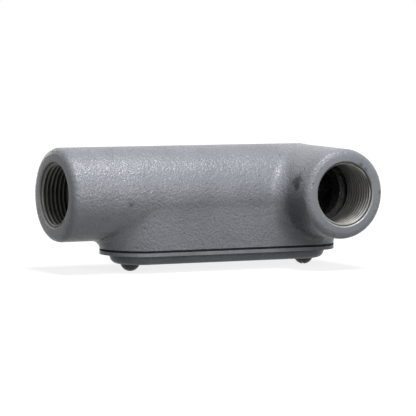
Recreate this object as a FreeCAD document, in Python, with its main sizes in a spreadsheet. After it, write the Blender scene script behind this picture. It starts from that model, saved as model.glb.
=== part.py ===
import FreeCAD, Part
import math
import os
import Sketcher

# Threaded conduit body, LR pattern, 3/4 inch trade size.
# The origin is the middle of the run hub's mouth. The run hub's axis lies along X and its mouth
# faces -X; the side hub faces -Y at the far end, and the cover faces -Z.

Vector = FreeCAD.Vector
doc = FreeCAD.newDocument("conduit_body")

# ---------------------------------------------------------------- sizes, in millimetres
sheet = doc.addObject("Spreadsheet::Sheet", "sizes")
driving = [
    ("hub_radius", 18.0, "side hub's outside radius at its face"),
    ("back_step", 0.5, "how far the round back stands out past the side hub"),
    ("hub_draft", 0.46, "side hub's draft, in degrees"),
    ("side_hub_x", 110.5, "run hub's face to the side hub's axis"),
    ("rim_round", 2.6, "rounding of each hub's outer rim"),
    ("side_step", 0.2, "how far the round back stands out past the chamber's sides"),
    ("hub_blend", 6.0, "blend all round the root of the side hub"),
    ("end_blend", 6.0, "blend between the chamber's ends and the round back"),
    ("seat_stock", 5.0, "stock cast below the gasket's seat and ground off flat"),
    ("wall", 3.2, "wall of the casting"),
    ("side_draft", 8.0, "draft of the chamber's sides, in degrees"),
    ("cover_seat", 21.9, "body's axis down to the gasket's seat"),
    ("thread_radius", 12.85, "wall of each threaded hub, at the root of its threads"),
    ("thread_length", 17.7, "threaded depth of each hub"),
    ("relief_length", 2.0, "thread relief between the threads and the bushing"),
    ("bushing_radius", 10.4, "throat of the integral bushing"),
    ("run_bushing", 5.6, "length of the run hub's bushing"),
    ("side_bushing", 2.5, "length of the side hub's bushing, where the chamber's wall is nearest"),
    ("bushing_bevel", 1.2, "bevel of the bushing's two edges"),
    ("lug_radius", 4.3, "inside screw lug"),
    ("lug_height", 9.4, "height of the screw lugs over the gasket's seat"),
    ("screw_inset", 11.85, "cover's end to the middle of each screw"),
    ("screw_radius", 2.08, "number 8-32 screw, over its threads"),
    ("screw_length", 12.7, "screw under its head"),
    ("screw_point", 0.6, "chamfer at the screw's tip"),
    ("thread_clearance", 0.05, "screw to its tapped hole, radial"),
    ("head_radius", 3.9, "screw's round head"),
    ("head_height", 3.0, "screw's round head"),
    ("slot_width", 1.2, "screwdriver slot"),
    ("slot_depth", 1.6, "screwdriver slot"),
    ("gasket_thick", 0.9, "gasket, pressed"),
    ("gasket_width", 4.4, "gasket's rim all round"),
    ("hole_clearance", 0.3, "screw to the holes in the gasket and the cover, radial"),
    ("cover_thick", 1.4, "cover's sheet steel"),
    ("dome_inset", 4.0, "cover's edge to the foot of its dome"),
    ("dome_height", 3.8, "cover's dome, past its flat rim"),
    ("dome_round", 3.2, "rounding of the dome's shoulder"),
]
for row, (name, value, meaning) in enumerate(driving, start=1):
    sheet.set(f"A{row}", name)
    sheet.set(f"B{row}", str(value))
    sheet.set(f"C{row}", meaning)
    sheet.setAlias(f"B{row}", name)

# What follows from the sizes above. The chamber's drafted sides are tangent to a circle just
# under the round back, and to the chamber's own round inside, so their half widths at the
# gasket's seat follow from the radius, the draft and the depth of the seat.
derived = [
    ("back_radius", "=hub_radius + back_step", "outside radius of the run hub and the round back"),
    ("chamber_radius", "=back_radius - wall", "wiring chamber under the round back"),
    ("chamber_bevel", "=chamber_radius * sin(45 deg)", "far end of the chamber, closed by two bevels"),
    ("bushing_start", "=thread_length + relief_length", "hub's face to its bushing"),
    ("bushing_end", "=bushing_start + run_bushing", "run hub's face to the wiring chamber"),
    ("chamber_start", "=bushing_end - wall", "run hub's face to the end of the gasket's seat"),
    ("side_hub_reach", "=bushing_start + side_bushing + chamber_radius", "axis to side hub's face"),
    ("root_radius", "=hub_radius + side_hub_reach * tan(hub_draft * 1 deg)", "side hub at the axis"),
    ("side_radius", "=back_radius - side_step", "circle to which the drafted sides are tangent"),
    ("seat_half", "=(side_radius - cover_seat * sin(side_draft * 1 deg)) / cos(side_draft * 1 deg)",
     "half the gasket's seat"),
    ("cast_seat", "=cover_seat + seat_stock", "body's axis down to the end of the stock"),
    ("stock_half", "=(side_radius - cast_seat * sin(side_draft * 1 deg)) / cos(side_draft * 1 deg)",
     "half the end of the stock"),
    ("rim_step", "=rim_round * (1 - cos(30 deg))", "rim's rounding, first of its three facets"),
    ("rim_mid", "=rim_round * sin(30 deg)", "rim's rounding, second of its three facets"),
    ("side_height", "=cast_seat - side_radius * sin(side_draft * 1 deg)", "drafted sides, outside"),
    ("mouth_half", "=(chamber_radius - cover_seat * sin(side_draft * 1 deg)) / cos(side_draft * 1 deg)",
     "half the chamber's mouth"),
    ("inner_height", "=cover_seat - chamber_radius * sin(side_draft * 1 deg)", "drafted sides, inside"),
    ("near_centre", "=chamber_start + seat_half", "middle of the chamber's round end"),
    ("lug_root", "=chamber_start + wall / 2", "where the run end's lug leaves the wall"),
    ("near_screw", "=chamber_start + screw_inset", "screw at the run end"),
    ("far_end", "=side_hub_x + seat_half", "far end of the gasket's seat"),
    ("far_root", "=far_end - wall / 2", "where the hub end's lug leaves the wall"),
    ("far_screw", "=far_end - screw_inset", "screw at the side hub"),
    ("tapped_radius", "=screw_radius + thread_clearance", "tapped hole in each lug"),
    ("hole_radius", "=screw_radius + hole_clearance", "screw holes in the gasket and the cover"),
    ("gasket_half", "=seat_half - gasket_width", "half the gasket's window"),
    ("cover_top", "=cover_seat + gasket_thick", "axis to the cover's inner face"),
    ("rim_plane", "=cover_top + cover_thick", "axis to the outer face of the cover's rim"),
    ("dome_half", "=seat_half - dome_inset", "half the dome, outside"),
    ("recess_half", "=dome_half - cover_thick", "half the dome, inside"),
    ("recess_bevel", "=(dome_round - cover_thick) * 0.6", "bevel in the dome's shoulder, inside"),
    ("dome_plane", "=rim_plane + dome_height", "axis to the dome's outer face"),
    ("head_plane", "=dome_plane + head_height", "axis to the top of each screw's head"),
    ("crown_radius", "=head_radius * 0.5", "screw's head at its crown"),
    ("cheek_height", "=head_height * 0.35", "screw's head, its underside to its shoulder"),
    ("tip_plane", "=dome_plane - screw_length", "axis to each screw's tip"),
    ("tip_radius", "=screw_radius - screw_point", "flat end of each screw"),
    ("slot_length", "=head_radius * 2.2", "cutter's pass across the head"),
]
for row, (name, formula, meaning) in enumerate(derived, start=len(driving) + 1):
    sheet.setAlias(f"B{row}", name)
    sheet.set(f"A{row}", name)
    sheet.set(f"B{row}", formula)
    sheet.set(f"C{row}", meaning)
doc.recompute()


def size(name):
    return float(sheet.get(name))


# ---------------------------------------------------------------- sketching helpers
def origin_plane(body, role):
    return next(item for item in body.Origin.OriginFeatures if item.Role == role)


def new_body(name):
    body = doc.addObject("PartDesign::Body", name)
    body.Label = name
    return body


def new_sketch(body, name, role, shift=(), turn=0.0):
    """A sketch on one of the body's origin planes, shifted by (axis, expression) pairs."""
    sketch = body.newObject("Sketcher::SketchObject", name)
    sketch.AttachmentSupport = [(origin_plane(body, role), "")]
    sketch.MapMode = "FlatFace"
    sketch.AttachmentOffset = FreeCAD.Placement(Vector(), FreeCAD.Rotation(Vector(0, 0, 1), turn))
    for axis, expression in shift:
        sketch.setExpression(f"AttachmentOffset.Base.{axis}", expression)
    return sketch


def line(sketch, start, end):
    return sketch.addGeometry(Part.LineSegment(Vector(*start, 0), Vector(*end, 0)), False)


def arc(sketch, centre, radius, start, end):
    circle = Part.Circle(Vector(*centre, 0), Vector(0, 0, 1), radius)
    return sketch.addGeometry(Part.ArcOfCircle(circle, math.radians(start), math.radians(end)), False)


def circle_at(sketch, at_name, radius_name):
    """A circle on the sketch's X axis."""
    centre = Vector(size(at_name), 0, 0)
    ring = sketch.addGeometry(Part.Circle(centre, Vector(0, 0, 1), size(radius_name)), False)
    sketch.addConstraint(Sketcher.Constraint("PointOnObject", ring, 3, -1))
    bind(sketch, "DistanceX", (-1, 1, ring, 3), at_name)
    bind(sketch, "Radius", (ring,), radius_name)


def fix(sketch, kind, *refs):
    sketch.addConstraint(Sketcher.Constraint(kind, *refs))


def bind(sketch, kind, refs, name, sign=1):
    """A dimension that reads one size from the sheet."""
    index = sketch.addConstraint(Sketcher.Constraint(kind, *refs, sign * size(name)))
    sketch.setExpression(f"Constraints[{index}]", f"{'-' if sign < 0 else ''}sizes.{name}")


def obround(sketch, left_name, right_name, half_name):
    """A slot shape along X, with its two half rounds about the named places."""
    left, right, half = size(left_name), size(right_name), size(half_name)
    start = arc(sketch, (left, 0), half, 90, 270)
    low = line(sketch, (left, -half), (right, -half))
    end = arc(sketch, (right, 0), half, 270, 450)
    high = line(sketch, (right, half), (left, half))
    fix(sketch, "Tangent", start, 2, low, 1)
    fix(sketch, "Tangent", low, 2, end, 1)
    fix(sketch, "Tangent", end, 2, high, 1)
    fix(sketch, "Tangent", high, 2, start, 1)
    fix(sketch, "PointOnObject", start, 3, -1)
    fix(sketch, "PointOnObject", end, 3, -1)
    fix(sketch, "Horizontal", low)
    bind(sketch, "DistanceX", (-1, 1, start, 3), left_name)
    bind(sketch, "DistanceX", (-1, 1, end, 3), right_name)
    bind(sketch, "Radius", (start,), half_name)


def lug(sketch, root_name, screw_name, side):
    """A lug's outline: straight from the end wall, round about its screw."""
    root, screw, radius = size(root_name), size(screw_name), size("lug_radius")
    nose = arc(sketch, (screw, 0), radius, 90 - 90 * side - 90, 90 - 90 * side + 90)
    first = line(sketch, (screw, side * radius), (root, side * radius))
    back = line(sketch, (root, side * radius), (root, -side * radius))
    last = line(sketch, (root, -side * radius), (screw, -side * radius))
    fix(sketch, "Tangent", nose, 2, first, 1)
    fix(sketch, "Coincident", first, 2, back, 1)
    fix(sketch, "Coincident", back, 2, last, 1)
    fix(sketch, "Tangent", last, 2, nose, 1)
    fix(sketch, "Vertical", back)
    fix(sketch, "Horizontal", first)
    fix(sketch, "Horizontal", last)
    fix(sketch, "PointOnObject", nose, 3, -1)
    bind(sketch, "DistanceX", (-1, 1, nose, 3), screw_name)
    bind(sketch, "DistanceX", (-1, 1, back, 1), root_name)
    bind(sketch, "Radius", (nose,), "lug_radius")


# ---------------------------------------------------------------- feature helpers
def pad(body, name, sketch, length_name, down=False, taper=None):
    feature = body.newObject("PartDesign::Pad", name)
    feature.Profile = sketch
    feature.setExpression("Length", f"sizes.{length_name}")
    feature.Reversed = down
    if taper:
        feature.setExpression("TaperAngle", taper)
    doc.recompute()
    return feature


def pocket(body, name, sketch, length_name, up=True, taper=None):
    feature = body.newObject("PartDesign::Pocket", name)
    feature.Profile = sketch
    feature.setExpression("Length", f"sizes.{length_name}")
    feature.Reversed = up
    if taper:
        feature.setExpression("TaperAngle", taper)
    doc.recompute()
    return feature


def turn_feature(body, name, sketch, kind, axis):
    feature = body.newObject(f"PartDesign::{kind}", name)
    feature.Profile = sketch
    feature.ReferenceAxis = (sketch, [axis])
    feature.Angle = 360.0
    doc.recompute()
    return feature


def edge_names(shape, wanted):
    return [f"Edge{i}" for i, edge in enumerate(shape.Edges, start=1) if wanted(edge)]


def fillet(body, name, base, wanted, radius_name):
    """Rounds the edges of base that wanted(edge) accepts."""
    feature = body.newObject("PartDesign::Fillet", name)
    feature.Base = (base, edge_names(base.Shape, wanted))
    feature.setExpression("Radius", f"sizes.{radius_name}")
    doc.recompute()
    return feature


def surfaces_at(shape, edge):
    """The surfaces of the two faces that meet along the edge."""
    return [face.Surface for face in shape.Faces if any(edge.isSame(other) for other in face.Edges)]


# ---------------------------------------------------------------- body casting
# Cast in one piece: the round back with the run hub, the side hub, the drafted wiring chamber,
# the integral bushings at the bottom of both hubs and the two screw lugs.
casting = new_body("body_casting")

# The run hub and the round back are one bar, closed at the far end by a half ball.
back_sketch = new_sketch(casting, "back_profile", "XZ_Plane")
rim, radius, far = size("rim_round"), size("back_radius"), size("side_hub_x")
step, mid = size("rim_step"), size("rim_mid")
face = line(back_sketch, (0, 0), (0, radius - rim))
inner_facet = line(back_sketch, (0, radius - rim), (step, radius - mid))
middle_facet = line(back_sketch, (step, radius - mid), (mid, radius - step))
outer_facet = line(back_sketch, (mid, radius - step), (rim, radius))
crest = line(back_sketch, (rim, radius), (far, radius))
ball = arc(back_sketch, (far, 0), radius, 0, 90)
middle = line(back_sketch, (far + radius, 0), (0, 0))
fix(back_sketch, "Coincident", face, 1, -1, 1)
fix(back_sketch, "Coincident", face, 2, inner_facet, 1)
fix(back_sketch, "Coincident", inner_facet, 2, middle_facet, 1)
fix(back_sketch, "Coincident", middle_facet, 2, outer_facet, 1)
fix(back_sketch, "Coincident", outer_facet, 2, crest, 1)
fix(back_sketch, "Tangent", crest, 2, ball, 2)
fix(back_sketch, "Coincident", ball, 1, middle, 1)
fix(back_sketch, "Coincident", middle, 2, face, 1)
fix(back_sketch, "Vertical", face)
fix(back_sketch, "Horizontal", crest)
fix(back_sketch, "Horizontal", middle)
fix(back_sketch, "PointOnObject", ball, 3, -1)
bind(back_sketch, "DistanceX", (-1, 1, inner_facet, 2), "rim_step")
bind(back_sketch, "DistanceX", (-1, 1, middle_facet, 2), "rim_mid")
bind(back_sketch, "DistanceX", (-1, 1, crest, 1), "rim_round")
bind(back_sketch, "DistanceY", (face, 2, crest, 1), "rim_round")
bind(back_sketch, "DistanceY", (inner_facet, 2, crest, 1), "rim_mid")
bind(back_sketch, "DistanceY", (middle_facet, 2, crest, 1), "rim_step")
bind(back_sketch, "Radius", (ball,), "back_radius")
bind(back_sketch, "DistanceX", (-1, 1, ball, 3), "side_hub_x")
turn_feature(casting, "round_back", back_sketch, "Revolution", "H_Axis")


# The wiring chamber's sides, drafted in towards the cover and blended into the round back.
side_sketch = new_sketch(casting, "chamber_outline", "XY_Plane", [("z", "-sizes.cast_seat")])
obround(side_sketch, "near_centre", "side_hub_x", "stock_half")
sides = pad(casting, "chamber_sides", side_sketch, "side_height", taper="sizes.side_draft")


def under_back(edge):
    """The closed run of edges where the drafted sides come out of the round back."""
    kinds = {type(surface).__name__ for surface in surfaces_at(sides.Shape, edge)}
    return edge.BoundBox.ZMax < 0 and kinds & {"Cylinder", "Sphere"} and kinds & {"Plane", "Cone"}


fillet(casting, "end_blend_round", sides, under_back, "end_blend")

# The side hub, drafted towards its face.
hub_sketch = new_sketch(casting, "side_hub_profile", "XY_Plane", [("x", "sizes.side_hub_x")])
reach, root, outer = size("side_hub_reach"), size("root_radius"), size("hub_radius")
hub_base = line(hub_sketch, (0, 0), (root, 0))
hub_side = line(hub_sketch, (root, 0), (outer, -reach + rim))
hub_outer = line(hub_sketch, (outer, -reach + rim), (outer - step, -reach + mid))
hub_facet = line(hub_sketch, (outer - step, -reach + mid), (outer - mid, -reach + step))
hub_inner = line(hub_sketch, (outer - mid, -reach + step), (outer - rim, -reach))
hub_face = line(hub_sketch, (outer - rim, -reach), (0, -reach))
hub_middle = line(hub_sketch, (0, -reach), (0, 0))
fix(hub_sketch, "Coincident", hub_base, 1, -1, 1)
fix(hub_sketch, "Coincident", hub_base, 2, hub_side, 1)
fix(hub_sketch, "Coincident", hub_side, 2, hub_outer, 1)
fix(hub_sketch, "Coincident", hub_outer, 2, hub_facet, 1)
fix(hub_sketch, "Coincident", hub_facet, 2, hub_inner, 1)
fix(hub_sketch, "Coincident", hub_inner, 2, hub_face, 1)
fix(hub_sketch, "Coincident", hub_face, 2, hub_middle, 1)
fix(hub_sketch, "Coincident", hub_middle, 2, hub_base, 1)
fix(hub_sketch, "Horizontal", hub_base)
fix(hub_sketch, "Horizontal", hub_face)
fix(hub_sketch, "Vertical", hub_middle)
bind(hub_sketch, "DistanceX", (-1, 1, hub_base, 2), "root_radius")
bind(hub_sketch, "DistanceY", (hub_middle, 1, -1, 1), "side_hub_reach")
bind(hub_sketch, "DistanceX", (-1, 1, hub_side, 2), "hub_radius")
bind(hub_sketch, "DistanceX", (hub_outer, 2, hub_side, 2), "rim_step")
bind(hub_sketch, "DistanceX", (hub_facet, 2, hub_side, 2), "rim_mid")
bind(hub_sketch, "DistanceX", (hub_face, 1, hub_side, 2), "rim_round")
bind(hub_sketch, "DistanceY", (hub_face, 1, hub_side, 2), "rim_round")
bind(hub_sketch, "DistanceY", (hub_face, 1, hub_outer, 2), "rim_mid")
bind(hub_sketch, "DistanceY", (hub_face, 1, hub_facet, 2), "rim_step")
side_hub = turn_feature(casting, "side_hub", hub_sketch, "Revolution", "V_Axis")


def at_hub_root(edge):
    """The closed run of edges where the side hub's cone meets the rest of the body."""
    surfaces = surfaces_at(side_hub.Shape, edge)
    cones = [surface for surface in surfaces if isinstance(surface, Part.Cone)]
    hub_cones = [cone for cone in cones if abs(cone.Axis.y) > 0.9]
    return len(surfaces) == 2 and len(hub_cones) == 1 and edge.BoundBox.YMin > rim - reach


fillet(casting, "hub_blend_round", side_hub, at_hub_root, "hub_blend")

# The gasket's seat, ground flat.
seat_sketch = new_sketch(casting, "seat_outline", "XY_Plane", [("z", "-sizes.cover_seat")])
obround(seat_sketch, "near_centre", "side_hub_x", "back_radius")
pocket(casting, "ground_seat", seat_sketch, "seat_stock", up=False)

# The wiring chamber: round under the back, with drafted sides down to its mouth.
cavity_sketch = new_sketch(casting, "cavity_profile", "XZ_Plane")
inner, start = size("chamber_radius"), size("bushing_end")
wall_line = line(cavity_sketch, (start, 0), (start, inner))
roof = line(cavity_sketch, (start, inner), (far, inner))
bevel = size("chamber_bevel")
slope = line(cavity_sketch, (far, inner), (far + bevel, bevel))
nose = line(cavity_sketch, (far + bevel, bevel), (far + inner, 0))
floor = line(cavity_sketch, (far + inner, 0), (start, 0))
fix(cavity_sketch, "Coincident", wall_line, 2, roof, 1)
fix(cavity_sketch, "Coincident", roof, 2, slope, 1)
fix(cavity_sketch, "Coincident", slope, 2, nose, 1)
fix(cavity_sketch, "Coincident", nose, 2, floor, 1)
fix(cavity_sketch, "Coincident", floor, 2, wall_line, 1)
fix(cavity_sketch, "PointOnObject", wall_line, 1, -1)
fix(cavity_sketch, "Vertical", wall_line)
fix(cavity_sketch, "Horizontal", roof)
fix(cavity_sketch, "Horizontal", floor)
bind(cavity_sketch, "DistanceX", (-1, 1, wall_line, 1), "bushing_end")
bind(cavity_sketch, "DistanceY", (-1, 1, roof, 1), "chamber_radius")
bind(cavity_sketch, "DistanceX", (-1, 1, slope, 1), "side_hub_x")
bind(cavity_sketch, "DistanceX", (slope, 1, slope, 2), "chamber_bevel")
bind(cavity_sketch, "DistanceY", (-1, 1, slope, 2), "chamber_bevel")
bind(cavity_sketch, "DistanceX", (slope, 1, nose, 2), "chamber_radius")
turn_feature(casting, "cavity", cavity_sketch, "Groove", "H_Axis")

mouth_sketch = new_sketch(casting, "mouth_outline", "XY_Plane", [("z", "-sizes.cover_seat")])
obround(mouth_sketch, "near_centre", "side_hub_x", "mouth_half")
pocket(casting, "chamber_mouth", mouth_sketch, "inner_height", taper="sizes.side_draft")

# The run hub's bore: threads, their relief, and the bushing with its two bevelled edges.
thread, throat, lip = size("thread_radius"), size("bushing_radius"), size("bushing_bevel")
stop = size("bushing_start")
run_sketch = new_sketch(casting, "run_bore_profile", "XZ_Plane")
run_mouth = line(run_sketch, (0, 0), (0, thread))
run_wall = line(run_sketch, (0, thread), (stop, thread))
run_step = line(run_sketch, (stop, thread), (stop, throat + lip))
run_lip = line(run_sketch, (stop, throat + lip), (stop + lip, throat))
run_throat = line(run_sketch, (stop + lip, throat), (start - lip, throat))
run_flare = line(run_sketch, (start - lip, throat), (start, throat + lip))
run_end = line(run_sketch, (start, throat + lip), (start, 0))
run_middle = line(run_sketch, (start, 0), (0, 0))
fix(run_sketch, "Coincident", run_mouth, 1, -1, 1)
fix(run_sketch, "Coincident", run_mouth, 2, run_wall, 1)
fix(run_sketch, "Coincident", run_wall, 2, run_step, 1)
fix(run_sketch, "Coincident", run_step, 2, run_lip, 1)
fix(run_sketch, "Coincident", run_lip, 2, run_throat, 1)
fix(run_sketch, "Coincident", run_throat, 2, run_flare, 1)
fix(run_sketch, "Coincident", run_flare, 2, run_end, 1)
fix(run_sketch, "Coincident", run_end, 2, run_middle, 1)
fix(run_sketch, "Coincident", run_middle, 2, run_mouth, 1)
fix(run_sketch, "Vertical", run_mouth)
fix(run_sketch, "Horizontal", run_wall)
fix(run_sketch, "Vertical", run_step)
fix(run_sketch, "Horizontal", run_throat)
fix(run_sketch, "Vertical", run_end)
fix(run_sketch, "Horizontal", run_middle)
bind(run_sketch, "DistanceY", (-1, 1, run_mouth, 2), "thread_radius")
bind(run_sketch, "DistanceX", (-1, 1, run_step, 1), "bushing_start")
bind(run_sketch, "DistanceY", (-1, 1, run_throat, 1), "bushing_radius")
bind(run_sketch, "DistanceX", (run_lip, 1, run_lip, 2), "bushing_bevel")
bind(run_sketch, "DistanceY", (run_lip, 2, run_lip, 1), "bushing_bevel")
bind(run_sketch, "DistanceX", (run_flare, 1, run_flare, 2), "bushing_bevel")
bind(run_sketch, "DistanceY", (run_flare, 1, run_flare, 2), "bushing_bevel")
bind(run_sketch, "DistanceX", (-1, 1, run_end, 1), "bushing_end")
turn_feature(casting, "run_bore", run_sketch, "Groove", "H_Axis")

# The side hub's bore: the same threads, relief and bushing, open to the chamber's round wall.
bore_sketch = new_sketch(casting, "side_bore_profile", "XY_Plane", [("x", "sizes.side_hub_x")])
bore_mouth = line(bore_sketch, (0, -reach), (thread, -reach))
bore_wall = line(bore_sketch, (thread, -reach), (thread, stop - reach))
bore_step = line(bore_sketch, (thread, stop - reach), (throat + lip, stop - reach))
bore_lip = line(bore_sketch, (throat + lip, stop - reach), (throat, stop - reach + lip))
bore_throat = line(bore_sketch, (throat, stop - reach + lip), (throat, 0))
bore_end = line(bore_sketch, (throat, 0), (0, 0))
bore_middle = line(bore_sketch, (0, 0), (0, -reach))
fix(bore_sketch, "Coincident", bore_mouth, 2, bore_wall, 1)
fix(bore_sketch, "Coincident", bore_wall, 2, bore_step, 1)
fix(bore_sketch, "Coincident", bore_step, 2, bore_lip, 1)
fix(bore_sketch, "Coincident", bore_lip, 2, bore_throat, 1)
fix(bore_sketch, "Coincident", bore_throat, 2, bore_end, 1)
fix(bore_sketch, "Coincident", bore_end, 2, bore_middle, 1)
fix(bore_sketch, "Coincident", bore_middle, 2, bore_mouth, 1)
fix(bore_sketch, "Coincident", bore_middle, 1, -1, 1)
fix(bore_sketch, "Horizontal", bore_mouth)
fix(bore_sketch, "Vertical", bore_wall)
fix(bore_sketch, "Horizontal", bore_step)
fix(bore_sketch, "Vertical", bore_throat)
fix(bore_sketch, "Horizontal", bore_end)
fix(bore_sketch, "Vertical", bore_middle)
bind(bore_sketch, "DistanceX", (-1, 1, bore_wall, 1), "thread_radius")
bind(bore_sketch, "DistanceY", (bore_mouth, 1, -1, 1), "side_hub_reach")
bind(bore_sketch, "DistanceY", (bore_wall, 1, bore_wall, 2), "bushing_start")
bind(bore_sketch, "DistanceX", (-1, 1, bore_throat, 1), "bushing_radius")
bind(bore_sketch, "DistanceX", (bore_lip, 2, bore_lip, 1), "bushing_bevel")
bind(bore_sketch, "DistanceY", (bore_lip, 1, bore_lip, 2), "bushing_bevel")
turn_feature(casting, "side_bore", bore_sketch, "Groove", "V_Axis")

# One lug at each end of the chamber, flush with the gasket's seat, tapped for the cover's screw.
near_lug = new_sketch(casting, "near_lug_outline", "XY_Plane", [("z", "-sizes.cover_seat")])
lug(near_lug, "lug_root", "near_screw", 1)
pad(casting, "near_lug", near_lug, "lug_height")
far_lug = new_sketch(casting, "far_lug_outline", "XY_Plane", [("z", "-sizes.cover_seat")])
lug(far_lug, "far_root", "far_screw", -1)
pad(casting, "far_lug", far_lug, "lug_height")
tap_sketch = new_sketch(casting, "tapped_holes_outline", "XY_Plane", [("z", "-sizes.cover_seat")])
circle_at(tap_sketch, "near_screw", "tapped_radius")
circle_at(tap_sketch, "far_screw", "tapped_radius")
casting.Tip = pocket(casting, "tapped_holes", tap_sketch, "lug_height")

# ---------------------------------------------------------------- cover gasket
# A flat frame, with a round eye inside each end for the cover's screw.
gasket = new_body("cover_gasket")
gasket_sketch = new_sketch(gasket, "gasket_outline", "XY_Plane", [("z", "-sizes.cover_seat")])
obround(gasket_sketch, "near_centre", "side_hub_x", "seat_half")
pad(gasket, "gasket_sheet", gasket_sketch, "gasket_thick", down=True)
window_sketch = new_sketch(gasket, "window_outline", "XY_Plane", [("z", "-sizes.cover_seat")])
obround(window_sketch, "near_centre", "side_hub_x", "gasket_half")
pocket(gasket, "gasket_window", window_sketch, "gasket_thick", up=False)
near_eye = new_sketch(gasket, "near_eye_outline", "XY_Plane", [("z", "-sizes.cover_seat")])
lug(near_eye, "lug_root", "near_screw", 1)
pad(gasket, "near_eye", near_eye, "gasket_thick", down=True)
far_eye = new_sketch(gasket, "far_eye_outline", "XY_Plane", [("z", "-sizes.cover_seat")])
lug(far_eye, "far_root", "far_screw", -1)
pad(gasket, "far_eye", far_eye, "gasket_thick", down=True)
gasket_holes = new_sketch(gasket, "gasket_holes_outline", "XY_Plane", [("z", "-sizes.cover_seat")])
circle_at(gasket_holes, "near_screw", "hole_radius")
circle_at(gasket_holes, "far_screw", "hole_radius")
gasket.Tip = pocket(gasket, "gasket_holes", gasket_holes, "gasket_thick", up=False)

# ---------------------------------------------------------------- domed cover
# Pressed from one sheet: a flat rim on the gasket and a dome whose shoulder is rounded.
cover = new_body("domed_cover")
rim_sketch = new_sketch(cover, "rim_outline", "XY_Plane", [("z", "-sizes.cover_top")])
obround(rim_sketch, "near_centre", "side_hub_x", "seat_half")
pad(cover, "cover_rim", rim_sketch, "cover_thick", down=True)
dome_sketch = new_sketch(cover, "dome_outline", "XY_Plane", [("z", "-sizes.rim_plane")])
obround(dome_sketch, "near_centre", "side_hub_x", "dome_half")
dome = pad(cover, "cover_dome", dome_sketch, "dome_height", down=True)


def at_height(level):
    """Picks the edges that lie wholly in the plane at this height."""
    return lambda edge: all(abs(z - level) < 0.001 for z in (edge.BoundBox.ZMin, edge.BoundBox.ZMax))


fillet(cover, "dome_shoulder", dome, at_height(-size("dome_plane")), "dome_round")
recess_sketch = new_sketch(cover, "recess_outline", "XY_Plane", [("z", "-sizes.cover_top")])
obround(recess_sketch, "near_centre", "side_hub_x", "recess_half")
recess = pocket(cover, "dome_recess", recess_sketch, "dome_height", up=False)
recess_floor = -size("cover_top") - size("dome_height")
shoulder = cover.newObject("PartDesign::Chamfer", "recess_shoulder")
shoulder.Base = (recess, edge_names(recess.Shape, at_height(recess_floor)))
shoulder.setExpression("Size", "sizes.recess_bevel")
doc.recompute()
hole_sketch = new_sketch(cover, "cover_holes_outline", "XY_Plane", [("z", "-sizes.dome_plane")])
circle_at(hole_sketch, "near_screw", "hole_radius")
circle_at(hole_sketch, "far_screw", "hole_radius")
cover.Tip = pocket(cover, "cover_holes", hole_sketch, "dome_height")


# ---------------------------------------------------------------- cover screws
def cover_screw(name, place_name, slot_turn):
    """A slotted round head screw, its head down against the dome."""
    screw = new_body(name)
    profile = new_sketch(screw, name + "_profile", "XZ_Plane", [("x", f"sizes.{place_name}")])
    seat, top, tip = -size("dome_plane"), -size("head_plane"), -size("tip_plane")
    shank, point, head = size("screw_radius"), size("screw_point"), size("head_radius")
    brow = (head, seat - size("cheek_height"))
    crown = (size("crown_radius"), top)
    flat = line(profile, (0, top), crown)
    shoulder = line(profile, crown, brow)
    cheek = line(profile, brow, (head, seat))
    under = line(profile, (head, seat), (shank, seat))
    side = line(profile, (shank, seat), (shank, tip - point))
    chamfer = line(profile, (shank, tip - point), (shank - point, tip))
    end = line(profile, (shank - point, tip), (0, tip))
    axis = line(profile, (0, tip), (0, top))
    fix(profile, "Coincident", flat, 2, shoulder, 1)
    fix(profile, "Coincident", shoulder, 2, cheek, 1)
    fix(profile, "Coincident", cheek, 2, under, 1)
    fix(profile, "Coincident", under, 2, side, 1)
    fix(profile, "Coincident", side, 2, chamfer, 1)
    fix(profile, "Coincident", chamfer, 2, end, 1)
    fix(profile, "Coincident", end, 2, axis, 1)
    fix(profile, "Coincident", axis, 2, flat, 1)
    fix(profile, "Horizontal", flat)
    fix(profile, "PointOnObject", axis, 1, -2)
    fix(profile, "PointOnObject", axis, 2, -2)
    fix(profile, "Horizontal", under)
    fix(profile, "Vertical", side)
    fix(profile, "Horizontal", end)
    bind(profile, "DistanceY", (under, 1, -1, 1), "dome_plane")
    bind(profile, "DistanceY", (axis, 2, -1, 1), "head_plane")
    bind(profile, "DistanceY", (end, 1, -1, 1), "tip_plane")
    bind(profile, "DistanceX", (-1, 1, under, 1), "head_radius")
    fix(profile, "Vertical", cheek)
    bind(profile, "DistanceY", (cheek, 1, cheek, 2), "cheek_height")
    bind(profile, "DistanceX", (-1, 1, shoulder, 1), "crown_radius")
    bind(profile, "DistanceX", (-1, 1, side, 1), "screw_radius")
    bind(profile, "DistanceX", (-1, 1, end, 1), "tip_radius")
    bind(profile, "DistanceY", (chamfer, 1, chamfer, 2), "screw_point")
    turn_feature(screw, name + "_blank", profile, "Revolution", "V_Axis")
    shift = [("x", f"sizes.{place_name}"), ("z", "-sizes.head_plane")]
    slot = new_sketch(screw, name + "_slot_outline", "XY_Plane", shift, slot_turn)
    long, wide = size("slot_length") / 2, size("slot_width") / 2
    corners = [(-long, -wide), (long, -wide), (long, wide), (-long, wide)]
    edges = [line(slot, corners[i], corners[(i + 1) % 4]) for i in range(4)]
    for i in range(4):
        fix(slot, "Coincident", edges[i], 2, edges[(i + 1) % 4], 1)
        fix(slot, "Horizontal" if i % 2 == 0 else "Vertical", edges[i])
    fix(slot, "Symmetric", edges[0], 1, edges[1], 2, -1, 1)
    bind(slot, "DistanceX", (edges[0], 1, edges[0], 2), "slot_length")
    bind(slot, "DistanceY", (edges[1], 1, edges[1], 2), "slot_width")
    screw.Tip = pocket(screw, name + "_slot", slot, "slot_depth")
    return screw


near_screw = cover_screw("run_end_screw", "near_screw", -30)
far_screw = cover_screw("hub_end_screw", "far_screw", 62)

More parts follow.
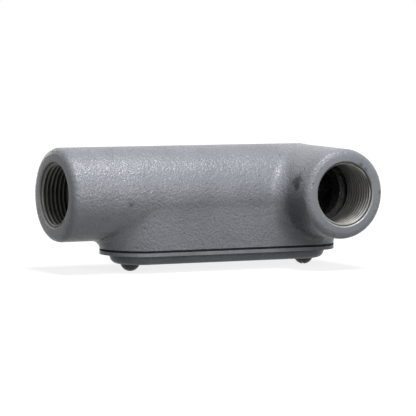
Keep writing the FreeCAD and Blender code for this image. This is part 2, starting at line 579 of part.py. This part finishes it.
# ---------------------------------------------------------------- checks and STEP files
doc.recompute()
for item in doc.Objects:
    assert not {"Invalid", "Error"} & set(item.State), f"{item.Name}: {item.State}"
    if item.TypeId == "Sketcher::SketchObject":
        assert item.FullyConstrained, f"{item.Name} is not fully constrained"
os.makedirs("parts", exist_ok=True)
for body in (casting, gasket, cover, near_screw, far_screw):
    shape = body.Shape
    assert not shape.isNull() and shape.isValid() and len(shape.Solids) == 1, body.Label
    print(f"{body.Label}: {shape.Volume:.1f} mm3")
    shape.exportStep(f"parts/{body.Label}.step")
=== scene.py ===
import math

import bmesh
import bpy
from mathutils import Matrix, Vector


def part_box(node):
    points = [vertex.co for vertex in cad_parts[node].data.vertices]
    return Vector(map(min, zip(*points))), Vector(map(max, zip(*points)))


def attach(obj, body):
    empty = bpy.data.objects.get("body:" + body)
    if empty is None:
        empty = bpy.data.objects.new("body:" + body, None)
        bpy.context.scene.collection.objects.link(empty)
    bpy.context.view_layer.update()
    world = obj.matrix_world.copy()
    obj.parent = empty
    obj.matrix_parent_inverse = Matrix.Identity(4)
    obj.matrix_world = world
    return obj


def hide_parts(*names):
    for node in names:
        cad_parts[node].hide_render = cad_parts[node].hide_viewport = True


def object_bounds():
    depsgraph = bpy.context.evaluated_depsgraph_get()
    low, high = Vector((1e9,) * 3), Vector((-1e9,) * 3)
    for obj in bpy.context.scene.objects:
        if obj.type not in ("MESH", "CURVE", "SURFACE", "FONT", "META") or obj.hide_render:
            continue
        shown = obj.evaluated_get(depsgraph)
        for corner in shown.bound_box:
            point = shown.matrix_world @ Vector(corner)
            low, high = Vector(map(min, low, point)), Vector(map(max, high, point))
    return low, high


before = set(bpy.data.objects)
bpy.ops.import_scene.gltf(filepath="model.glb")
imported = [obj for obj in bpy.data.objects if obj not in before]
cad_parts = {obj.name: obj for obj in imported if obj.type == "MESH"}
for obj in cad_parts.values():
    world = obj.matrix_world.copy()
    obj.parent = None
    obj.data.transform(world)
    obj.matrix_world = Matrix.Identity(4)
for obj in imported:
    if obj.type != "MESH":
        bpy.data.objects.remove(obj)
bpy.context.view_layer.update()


# ---------------------------------------------------------------- body casting
# The body and both hubs are one sand casting in iron, tumbled and sprayed with satin
# aluminium paint. The paint takes up the sand's grain, and its hollows get painted shade.
def shade_round(work, crease):
    """Shade a mesh round, save over the edges that turn by more degrees than the crease."""
    for face in work.faces:
        face.smooth = True
    for edge in work.edges:
        edge.smooth = edge.calc_face_angle(0.0) < math.radians(crease)


def joined_copy(node_name):
    """A node's mesh with its loose triangles joined and shaded round, save over sharp edges."""
    work = bmesh.new()
    work.from_mesh(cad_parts[node_name].data)
    bmesh.ops.remove_doubles(work, verts=work.verts, dist=0.000002)
    shade_round(work, crease=32)
    return work


def new_piece(name, work, finish):
    """An object made of the worked mesh, in its finish."""
    mesh = bpy.data.meshes.new(name)
    work.to_mesh(mesh)
    work.free()
    mesh.materials.append(finish)
    piece = bpy.data.objects.new(name, mesh)
    bpy.context.collection.objects.link(piece)
    return piece


def new_finish(name):
    """A material with its nodes, links, shader and object coordinates at hand."""
    finish = bpy.data.materials.new(name)
    finish.use_nodes = True
    nodes = finish.node_tree.nodes
    place = nodes.new("ShaderNodeTexCoord")
    return finish, nodes, finish.node_tree.links, nodes["Principled BSDF"], place.outputs["Object"]


def noise(nodes, links, place, scale, detail=4.0, rough=0.5, twist=0.0):
    """Noise whose scale is in waves per metre."""
    pattern = nodes.new("ShaderNodeTexNoise")
    pattern.inputs["Scale"].default_value = scale
    pattern.inputs["Detail"].default_value = detail
    pattern.inputs["Roughness"].default_value = rough
    pattern.inputs["Distortion"].default_value = twist
    links.new(place, pattern.inputs["Vector"])
    return pattern.outputs["Fac"]


def attribute(nodes, name):
    """A number kept on the faces or vertices of a mesh."""
    reader = nodes.new("ShaderNodeAttribute")
    reader.attribute_name = name
    return reader.outputs["Fac"]


def ramp(nodes, links, fac, stops):
    """A colour ramp through (position, colour) stops, where a single number is a grey."""
    band = nodes.new("ShaderNodeValToRGB")
    elements = band.color_ramp.elements
    elements[0].position, elements[1].position = stops[0][0], stops[-1][0]
    for position, _ in stops[1:-1]:
        elements.new(position)
    for element, (_, colour) in zip(elements, stops):
        element.color = (*(colour if isinstance(colour, tuple) else (colour,) * 3), 1.0)
    links.new(fac, band.inputs["Fac"])
    return band.outputs["Color"]


def rescale(nodes, links, value, low, high, new_low=0.0, new_high=1.0):
    """A number moved from one range to another, and held between the new ends."""
    scale = nodes.new("ShaderNodeMapRange")
    for name, end in (("From Min", low), ("From Max", high), ("To Min", new_low), ("To Max", new_high)):
        scale.inputs[name].default_value = end
    links.new(value, scale.inputs["Value"])
    return scale.outputs["Result"]


def mix(nodes, links, kind, fac, first, second):
    """A colour mix of two sockets or colours."""
    blend = nodes.new("ShaderNodeMix")
    blend.data_type = "RGBA"
    blend.blend_type = kind
    for index, value in ((0, fac), (6, first), (7, second)):
        if isinstance(value, bpy.types.NodeSocket):
            links.new(value, blend.inputs[index])
        else:
            blend.inputs[index].default_value = value
    return blend.outputs[2]


def bump(nodes, links, height, strength, depth, under=None):
    """A bump of that depth in metres, over another one."""
    relief = nodes.new("ShaderNodeBump")
    relief.inputs["Strength"].default_value = strength
    relief.inputs["Distance"].default_value = depth
    links.new(height, relief.inputs["Height"])
    if under:
        links.new(under, relief.inputs["Normal"])
    return relief.outputs["Normal"]


aluminium_paint, nodes, links, shader, place = new_finish("aluminium_paint")
clouds = noise(nodes, links, place, 60, 4.0, 0.6)
tone = ramp(nodes, links, clouds, [(0.30, (0.203, 0.214, 0.239)), (0.70, (0.261, 0.274, 0.303))])
mottle = noise(nodes, links, place, 900, 3.0, 0.65, 0.5)
mottle_tone = ramp(nodes, links, mottle, [(0.32, 0.76), (0.50, 1.0), (0.70, 1.10)])
tone = mix(nodes, links, "MULTIPLY", 0.7, tone, mottle_tone)
pits = noise(nodes, links, place, 800, 3.0, 0.6)
pit_tone = ramp(nodes, links, pits, [(0.30, 0.25), (0.36, 1.0)])
tone = mix(nodes, links, "MULTIPLY", 0.75, tone, pit_tone)

# Grime is rubbed into the flank of the side hub, the rim of its mouth and the run hub. Each
# spot has its middle, how far it spreads, and how much of the paint it hides.
grime_spots = (
    ((0.0934, -0.0294, 0.0056), 0.0030, 0.90), ((0.0928, -0.0297, 0.0030), 0.0022, 0.90),
    ((0.0931, -0.0268, 0.0046), 0.0016, 0.75), ((0.1174, -0.0372, 0.0111), 0.0014, 0.85),
    ((0.1194, -0.0371, 0.0094), 0.0014, 0.85), ((0.1270, -0.0372, 0.0005), 0.0009, 0.90),
    ((0.0246, -0.0182, -0.0033), 0.0012, 0.70), ((0.0955, -0.0373, 0.0044), 0.0006, 0.90))
ragged = noise(nodes, links, place, 900, 3.0, 0.6, 1.0)
for middle, spread, hidden in grime_spots:
    away = nodes.new("ShaderNodeVectorMath")
    away.operation = "DISTANCE"
    away.inputs[1].default_value = middle
    links.new(place, away.inputs[0])
    ragged_away = nodes.new("ShaderNodeMath")
    ragged_away.operation = "MULTIPLY_ADD"
    ragged_away.inputs[1].default_value = 1.5 * spread
    links.new(ragged, ragged_away.inputs[0])
    links.new(away.outputs["Value"], ragged_away.inputs[2])
    near = rescale(nodes, links, ragged_away.outputs[0], 1.1 * spread, 1.9 * spread, hidden, 0.0)
    tone = mix(nodes, links, "MIX", near, tone, (0.022, 0.022, 0.024, 1))
# Painted shade: the hollows inside the bores and the chamber are darkened.
tone = mix(nodes, links, "MIX", attribute(nodes, "hollow_shade"), tone, (0.05, 0.05, 0.052, 1))
tone = mix(nodes, links, "MIX", attribute(nodes, "cut_edge"), tone, (0.42, 0.42, 0.40, 1))
links.new(tone, shader.inputs["Base Color"])
links.new(ramp(nodes, links, mottle, [(0.3, 0.36), (0.7, 0.22)]), shader.inputs["Roughness"])
sand = noise(nodes, links, place, 980, 2.0, 0.6, 0.4)
grain = bump(nodes, links, sand, 0.9, 0.0004)
grain_strength = rescale(nodes, links, attribute(nodes, "turned"), 0.0, 1.0, 0.9, 0.12)
links.new(grain_strength, grain.node.inputs["Strength"])
links.new(bump(nodes, links, pits, 0.3, 0.0002, grain), shader.inputs["Normal"])

side_hub_x = 0.1105
crossing = Vector((side_hub_x, 0, 0))
run_hub = Vector((0, 0, 0)), Vector((1, 0, 0))
side_hub = Vector((side_hub_x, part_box("body_casting")[0].y, 0)), Vector((0, 1, 0))


def place_in_hub(point, mouth, inward):
    """How deep a point lies behind a hub's mouth, and how far from the hub's axis."""
    depth = (point - mouth).dot(inward)
    return depth, (point - mouth - depth * inward).length


# The end faces are turned flat, and the edge round each bore is broken with a small cut. That
# edge lies flush with the mouth, inside this radius, and turns by more than a radian.
flush, bore_edge_radius, square_edge, edge_cut = 0.00001, 0.0135, 1.0, 0.0004
work = joined_copy("body_casting")
turned = work.faces.layers.float.new("turned")
cut_edge = work.faces.layers.float.new("cut_edge")
mouth_edges = []
for hub in (run_hub, side_hub):
    for face in work.faces:
        if all(place_in_hub(vert.co, *hub)[0] < flush for vert in face.verts):
            face[turned] = 1.0
    for edge in work.edges:
        ends = [place_in_hub(vert.co, *hub) for vert in edge.verts]
        at_bore = all(depth < flush and radius < bore_edge_radius for depth, radius in ends)
        if at_bore and edge.calc_face_angle(0.0) > square_edge:
            mouth_edges.append(edge)
bevelled = bmesh.ops.bevel(work, geom=mouth_edges, offset=edge_cut, offset_type="OFFSET",
                           affect="EDGES", segments=1, profile=0.5, material=-1,
                           clamp_overlap=False)
for face in bevelled["faces"]:
    face[cut_edge] = 1.0

# Painted shade darkens the hollow: the bores behind their threads, as far as they meet, and the
# chamber.
thread_end, bore_radius = 0.0165, 0.0158
chamber_top, chamber_start, chamber_half_width = -0.0115, 0.0375, 0.0127
hollow_shade = work.verts.layers.float.new("hollow_shade")
for vert in work.verts:
    for mouth, inward in (run_hub, side_hub):
        depth, radius = place_in_hub(vert.co, mouth, inward)
        past_crossing = max(depth - (crossing - mouth).length, 0)
        if depth > thread_end and math.hypot(past_crossing, radius) < bore_radius:
            vert[hollow_shade] = 1.0
    past_end = vert.co.x - min(max(vert.co.x, chamber_start), side_hub_x)
    if vert.co.z < chamber_top and math.hypot(past_end, vert.co.y) < chamber_half_width:
        vert[hollow_shade] = 1.0
casting = new_piece("casting_skin", work, aluminium_paint)
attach(casting, "casting")
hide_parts("body_casting")
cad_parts["body_casting"].material_slots[0].material = aluminium_paint


# ---------------------------------------------------------------- threads in the hubs
# Both hubs are tapped with a 3/4 inch taper pipe thread, 14 to the inch, after casting, so the
# threads are bare cut iron. Each is one ridge wound into the bore, clear of its relief.
cut_iron, nodes, links, shader, place = new_finish("cut_iron")
stain = noise(nodes, links, place, 160, 4.0, 0.6, 0.3)
tone = ramp(nodes, links, stain, [(0.30, (0.33, 0.325, 0.30)), (0.68, (0.56, 0.55, 0.505))])
# Painted shade: the thread darkens towards its roots and deeper into the bore.
for name, dark in (("thread_root_shade", 0.05), ("depth", 0.2)):
    shade = ramp(nodes, links, attribute(nodes, name), [(0.0, 1.0), (0.6, dark)])
    tone = mix(nodes, links, "MULTIPLY", 1.0, tone, shade)
links.new(tone, shader.inputs["Base Color"])
shader.inputs["Metallic"].default_value = 0.15
links.new(ramp(nodes, links, stain, [(0.3, 0.6), (0.7, 0.42)]), shader.inputs["Roughness"])
tool_marks = noise(nodes, links, place, 2200, 2.0)
links.new(bump(nodes, links, tool_marks, 0.2, 0.00008), shader.inputs["Normal"])


def cut_away(work, point, normal):
    """Cut off what lies behind a plane, and close the cut."""
    bmesh.ops.bisect_plane(work, geom=work.verts[:] + work.edges[:] + work.faces[:],
                           plane_co=point, plane_no=normal, clear_inner=True)
    bmesh.ops.holes_fill(work, edges=[edge for edge in work.edges if edge.is_boundary], sides=0)


def set_in_hub(work, mouth, inward):
    """Move a mesh that was made up +Z from the origin to a hub's mouth, pointing inward."""
    turn = Vector((0, 0, 1)).rotation_difference(inward).to_matrix().to_4x4()
    bmesh.ops.transform(work, matrix=Matrix.Translation(mouth) @ turn, verts=work.verts)


def pipe_thread(name, mouth, inward):
    """The ridge between one bore's thread grooves, from the hub's mouth inward."""
    pitch, start, end, crest, root = 0.0018143, 0.0007, 0.0177, 0.01185, 0.0130
    turns, steps_per_turn = 11, 60
    # The ridge's outline is given as radius and height in pitches, and starts below the mouth.
    outline = ((root, -1.0), (crest, -0.55), (crest, -0.45), (root, 0.0))
    work = bmesh.new()
    ring = [work.verts.new((radius, 0, pitches * pitch)) for radius, pitches in outline]
    edges = [work.edges.new((ring[i - 1], ring[i])) for i in range(4)]
    bmesh.ops.spin(work, geom=ring + edges, cent=(0, 0, 0), axis=(0, 0, 1),
                   dvec=(0, 0, pitch / steps_per_turn), angle=math.tau * turns,
                   steps=steps_per_turn * turns, use_merge=False)
    cut_away(work, (0, 0, start), (0, 0, 1))
    cut_away(work, (0, 0, end), (0, 0, -1))
    bmesh.ops.recalc_face_normals(work, faces=work.faces)
    shade_round(work, crease=25)
    # The painted shade is kept on the vertices, towards the thread's roots and with depth into the
    # bore.
    thread_root_shade, depth = work.verts.layers.float.new("thread_root_shade"), work.verts.layers.float.new("depth")
    for vert in work.verts:
        vert[thread_root_shade] = (math.hypot(vert.co.x, vert.co.y) - crest) / (root - crest)
        vert[depth] = vert.co.z / end
    set_in_hub(work, mouth, inward)
    piece = new_piece(name, work, cut_iron)
    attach(piece, "casting")


pipe_thread("run_hub_thread", *run_hub)
pipe_thread("side_hub_thread", *side_hub)


# ---------------------------------------------------------------- bushing lips
# Cast with the body at the bottom of each bore, to keep the wires off the conduit's sharp end.
# Its edge towards the mouth is rounded over.
def bushing_lip(name, mouth, inward):
    """The rounded edge of one integral bushing."""
    depth, throat, lip = 0.0197, 0.0104, 0.0012
    work = bmesh.new()
    crown = work.verts.new((throat + lip, 0, depth))
    bmesh.ops.spin(work, geom=[crown], cent=(throat + lip, 0, depth + lip), axis=(0, 1, 0),
                   angle=-math.pi / 2, steps=6, use_merge=False)
    arc_ends = [vert for vert in work.verts if len(vert.link_edges) == 1]
    corner = work.verts.new((throat + lip, 0, depth + lip))
    for arc_end in arc_ends:
        work.edges.new((corner, arc_end))
    bmesh.ops.spin(work, geom=work.verts[:] + work.edges[:], cent=(0, 0, 0), axis=(0, 0, 1),
                   angle=math.tau, steps=72, use_merge=True)
    bmesh.ops.recalc_face_normals(work, faces=work.faces)
    shade_round(work, crease=35)
    set_in_hub(work, mouth, inward)
    piece = new_piece(name, work, aluminium_paint)
    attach(piece, "casting")


bushing_lip("run_bushing_lip", *run_hub)
bushing_lip("side_bushing_lip", *side_hub)


# ---------------------------------------------------------------- cover gasket
# Die cut from black neoprene sheet, and squeezed between the casting and the cover. Its node
# has the true shape, so only its finish is given here.
black_neoprene, nodes, links, shader, place = new_finish("black_neoprene")
dust = noise(nodes, links, place, 900, 4.0, 0.6)
tone = ramp(nodes, links, dust, [(0.35, 0.004), (0.75, (0.012, 0.012, 0.013))])
links.new(tone, shader.inputs["Base Color"])
shader.inputs["Roughness"].default_value = 0.85
shader.inputs["Specular IOR Level"].default_value = 0.2
links.new(bump(nodes, links, dust, 0.3, 0.0001), shader.inputs["Normal"])
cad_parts["cover_gasket"].material_slots[0].material = black_neoprene


# ---------------------------------------------------------------- domed cover
# Pressed from sheet steel, zinc plated: a flat rim on the gasket and a raised dome with a
# rounded shoulder. The rim is painted lighter than the dome, as a painted highlight on its edge.
plated_steel, nodes, links, shader, place = new_finish("plated_steel")
clouds = noise(nodes, links, place, 70, 4.0, 0.55)
tone = ramp(nodes, links, clouds, [(0.30, (0.165, 0.177, 0.192)), (0.70, (0.225, 0.238, 0.255))])
scuffs = noise(nodes, links, place, 800, 3.0, 0.6, 0.5)
scuff_tone = ramp(nodes, links, scuffs, [(0.32, 0.7), (0.6, 1.0)])
tone = mix(nodes, links, "MULTIPLY", 0.6, tone, scuff_tone)
# Painted shadow darkens the crease under the rim, at the foot of the dome, between these two heights;
# above them the rim gets a painted highlight.
crease_bottom, crease_top = -0.0254, -0.0242
height = nodes.new("ShaderNodeSeparateXYZ")
links.new(place, height.inputs[0])
crease = rescale(nodes, links, height.outputs["Z"], crease_bottom, crease_top)
rim_shadow_and_highlight = ramp(nodes, links, crease, [(0.0, 0.9), (0.55, 0.95), (0.7, 0.3), (0.93, 0.3),
                                          (0.98, 1.1)])
tone = mix(nodes, links, "MULTIPLY", 1.0, tone, rim_shadow_and_highlight)
links.new(tone, shader.inputs["Base Color"])
shader.inputs["Metallic"].default_value = 0.1
shader.inputs["Specular IOR Level"].default_value = 0.35
links.new(ramp(nodes, links, scuffs, [(0.3, 0.5), (0.7, 0.36)]), shader.inputs["Roughness"])
links.new(bump(nodes, links, scuffs, 0.25, 0.0001), shader.inputs["Normal"])
cover = new_piece("cover_skin", joined_copy("domed_cover"), plated_steel)
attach(cover, "cover")
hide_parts("domed_cover")
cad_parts["domed_cover"].material_slots[0].material = plated_steel


# ---------------------------------------------------------------- cover screws
# Two number 8-32 steel screws with slotted round heads, dark with an oiled oxide finish. They
# pass through the dome and the gasket into the lugs inside the casting.
oiled_steel, nodes, links, shader, place = new_finish("oiled_steel")
grime = noise(nodes, links, place, 1100, 4.0, 0.6)
tone = ramp(nodes, links, grime, [(0.35, 0.005), (0.7, (0.022, 0.020, 0.018))])
links.new(tone, shader.inputs["Base Color"])
shader.inputs["Metallic"].default_value = 0.3
links.new(ramp(nodes, links, grime, [(0.3, 0.5), (0.7, 0.33)]), shader.inputs["Roughness"])
links.new(bump(nodes, links, grime, 0.3, 0.00008), shader.inputs["Normal"])


def cover_screw(name, node_name, body, slot_turn):
    """A slotted round head screw, built head down about its own axis."""
    head_radius, head_height, slot_half_width, slot_depth = 0.0039, 0.0030, 0.0006, 0.0016
    shank_radius, point_cut = 0.00208, 0.0006
    low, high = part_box(node_name)
    ball_radius = (head_radius ** 2 + head_height ** 2) / (2 * head_height)

    # The head is a cap of a ball, and the whole blank is turned in one spin.
    work = bmesh.new()
    crown = work.verts.new((0, 0, low.z))
    swept = bmesh.ops.spin(work, geom=[crown], cent=(0, 0, low.z + ball_radius), axis=(0, 1, 0),
                           angle=-math.asin(head_radius / ball_radius), steps=10,
                           use_merge=False)["geom_last"]
    rim = next(item for item in swept if isinstance(item, bmesh.types.BMVert))
    chain = [rim] + [work.verts.new((radius, 0, height)) for radius, height in (
        (shank_radius, low.z + head_height), (shank_radius, high.z - point_cut),
        (shank_radius - point_cut, high.z), (0, high.z))]
    for first, second in zip(chain, chain[1:]):
        work.edges.new((first, second))
    bmesh.ops.spin(work, geom=work.verts[:] + work.edges[:], cent=(0, 0, 0), axis=(0, 0, 1),
                   angle=math.tau, steps=48, use_merge=True)
    bmesh.ops.remove_doubles(work, verts=work.verts, dist=0.000001)
    bmesh.ops.recalc_face_normals(work, faces=work.faces)

    # The slot parts the head into two cheeks, which stand on the rest of the screw.
    slot_floor = (0, 0, low.z + slot_depth)
    part = bpy.data.meshes.new("screw_part")
    slotted = bmesh.new()
    for side in (-1, 1):
        cheek = work.copy()
        cut_away(cheek, (0, side * slot_half_width, 0), (0, side, 0))
        cut_away(cheek, slot_floor, (0, 0, -1))
        cheek.to_mesh(part)
        cheek.free()
        slotted.from_mesh(part)
    cut_away(work, slot_floor, (0, 0, 1))
    work.to_mesh(part)
    work.free()
    slotted.from_mesh(part)
    bpy.data.meshes.remove(part)
    bmesh.ops.recalc_face_normals(slotted, faces=slotted.faces)
    shade_round(slotted, crease=32)
    stand = Matrix.Translation(((low.x + high.x) / 2, 0, 0)) @ Matrix.Rotation(slot_turn, 4, "Z")
    bmesh.ops.transform(slotted, matrix=stand, verts=slotted.verts)
    piece = new_piece(name, slotted, oiled_steel)
    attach(piece, body)
    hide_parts(node_name)
    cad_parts[node_name].material_slots[0].material = oiled_steel


cover_screw("run_end_round_head", "run_end_screw", "run_screw", math.radians(-30))
cover_screw("hub_end_round_head", "hub_end_screw", "hub_screw", math.radians(38))


# ---------------------------------------------------------------- table and surroundings
# A plain white table in a white room. Both look white when seen or reflected, and give the
# object little light. The table keeps the object's shadow and grows plain away from it.
def seen_directly(nodes, links, low, high):
    """A number that is high for what is seen, reflected or seen through, and low as a light."""
    path = nodes.new("ShaderNodeLightPath")
    total = path.outputs["Is Camera Ray"]
    for kind in ("Is Glossy Ray", "Is Transmission Ray"):
        either = nodes.new("ShaderNodeMath")
        either.operation = "ADD"
        either.use_clamp = True
        links.new(total, either.inputs[0])
        links.new(path.outputs[kind], either.inputs[1])
        total = either.outputs[0]
    return rescale(nodes, links, total, 0.0, 1.0, low, high)


table_paint, nodes, links, shader, place = new_finish("table_paint")
links.new(seen_directly(nodes, links, 0.02, 0.3), shader.inputs["Base Color"])
shader.inputs["Roughness"].default_value = 1.0
shader.inputs["Specular IOR Level"].default_value = 0.0
away = nodes.new("ShaderNodeVectorMath")
away.operation = "LENGTH"
links.new(place, away.inputs[0])
shadow_end, plain_start, shadow_glow = 0.15, 0.45, 0.82
plain = rescale(nodes, links, away.outputs["Value"], shadow_end, plain_start, shadow_glow, 1.0)
plain.node.interpolation_type = "SMOOTHSTEP"
glow = nodes.new("ShaderNodeMath")
glow.operation = "MULTIPLY"
links.new(plain, glow.inputs[0])
links.new(seen_directly(nodes, links, 0.0, 1.0), glow.inputs[1])
links.new(glow.outputs[0], shader.inputs["Emission Strength"])
shader.inputs["Emission Color"].default_value = (1, 1, 1, 1)
# From below the table is left out, so that the cover can be seen.
side = nodes.new("ShaderNodeNewGeometry")
clear = nodes.new("ShaderNodeBsdfTransparent")
either_side = nodes.new("ShaderNodeMixShader")
links.new(side.outputs["Backfacing"], either_side.inputs[0])
links.new(shader.outputs[0], either_side.inputs[1])
links.new(clear.outputs[0], either_side.inputs[2])
links.new(either_side.outputs[0], nodes["Material Output"].inputs["Surface"])

half_width, gap = 6.0, 0.0001
work = bmesh.new()
bmesh.ops.create_grid(work, x_segments=1, y_segments=1, size=half_width)
bmesh.ops.translate(work, vec=(0, 0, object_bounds()[0].z - gap), verts=work.verts)
table = new_piece("table", work, table_paint)

world = bpy.data.worlds.new("studio")
bpy.context.scene.world = world
world.use_nodes = True
nodes, links = world.node_tree.nodes, world.node_tree.links
links.new(seen_directly(nodes, links, 0.09, 1.0), nodes["Background"].inputs["Strength"])
nodes["Background"].inputs["Color"].default_value = (1, 1, 1, 1)


# ---------------------------------------------------------------- lamps and camera
# A strong soft box overhead and a little to the front, and weaker ones at the front and low at
# the back. A long lens looks at the side hub's side and the run hub's end, a little from above.
def soft_box(name, spot, size, power):
    """A square lamp of that size in metres, which faces the middle of the object."""
    middle = Vector((0.064, 0, 0))
    lamp = bpy.data.lights.new(name, "AREA")
    lamp.shape = "SQUARE"
    lamp.size = size
    lamp.energy = power
    box = bpy.data.objects.new(name, lamp)
    box.location = spot
    box.rotation_euler = (middle - Vector(spot)).to_track_quat("-Z", "Y").to_euler()
    bpy.context.collection.objects.link(box)


soft_box("overhead_box", (0.04, -0.36, 0.93), 0.40, 10.2)
soft_box("front_box", (0.05, -1.10, 0.42), 0.5, 5.6)
soft_box("back_box", (0.10, 1.15, 0.05), 0.5, 2.0)

turn, drop, roll = math.radians(29.32), math.radians(4.24), math.radians(0.57)
aim, aside, above, distance = Vector((0.060, 0, 0)), 0.00785, -0.00666, 1.13389
ahead = Vector((math.sin(turn) * math.cos(drop), math.cos(turn) * math.cos(drop), -math.sin(drop)))
level_right = Vector((math.cos(turn), -math.sin(turn), 0))
level_up = level_right.cross(ahead)
right = level_right * math.cos(roll) + level_up * math.sin(roll)
up = level_up * math.cos(roll) - level_right * math.sin(roll)
stand = aim + right * aside + up * above - ahead * distance
camera_data = bpy.data.cameras.new("camera")
camera_data.lens = 245.43
camera_data.sensor_width = 36.0
camera = bpy.data.objects.new("camera", camera_data)
bpy.context.collection.objects.link(camera)
camera.matrix_world = Matrix.Translation(stand) @ Matrix((right, up, -ahead)).transposed().to_4x4()
bpy.context.scene.camera = camera
bpy.context.scene.view_settings.view_transform = "Standard"
